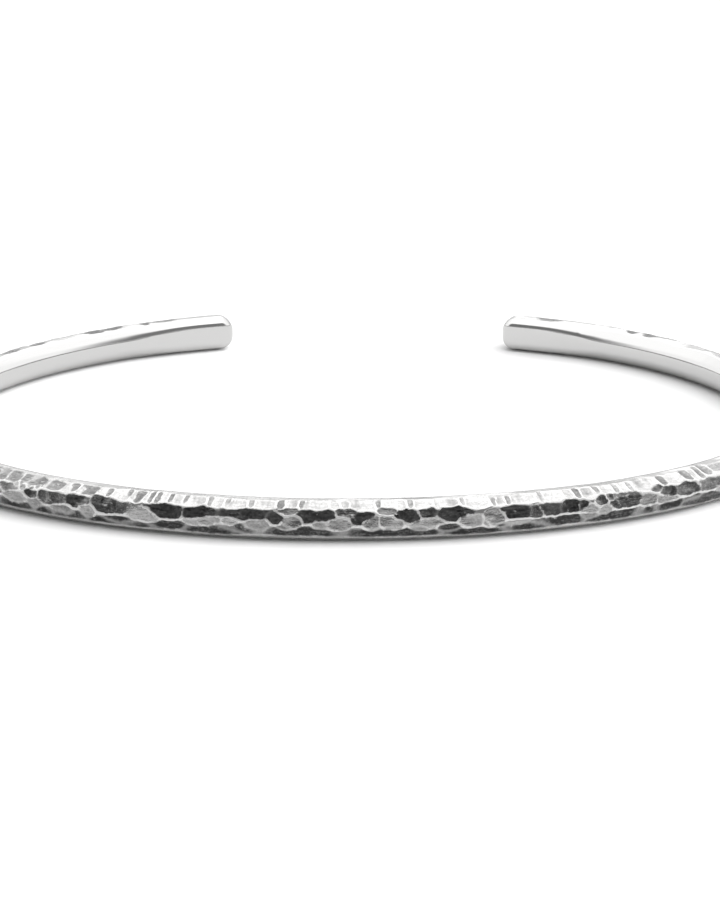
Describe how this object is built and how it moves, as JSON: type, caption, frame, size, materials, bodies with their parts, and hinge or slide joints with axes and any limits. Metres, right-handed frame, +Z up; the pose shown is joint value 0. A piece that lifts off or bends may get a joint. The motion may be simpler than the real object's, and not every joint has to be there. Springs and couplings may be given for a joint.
{
  "type": "cuff bangle",
  "caption": "Open oval cuff bangle of one hammered silver bar, smooth inside, with rounded ends and a mouth for the wrist.",
  "frame": {"origin": "middle of the oval in plan, on the surface that the cuff lies on", "axes": "+X across the wrist, +Y towards the open mouth, +Z up, as the cuff lies on its side"},
  "size_m": [0.0662, 0.0543, 0.0027],
  "materials": {
    "silver": "polished"
  },
  "bodies": {
    "root": {"cuff": "silver"}
  },
  "joints": []
}
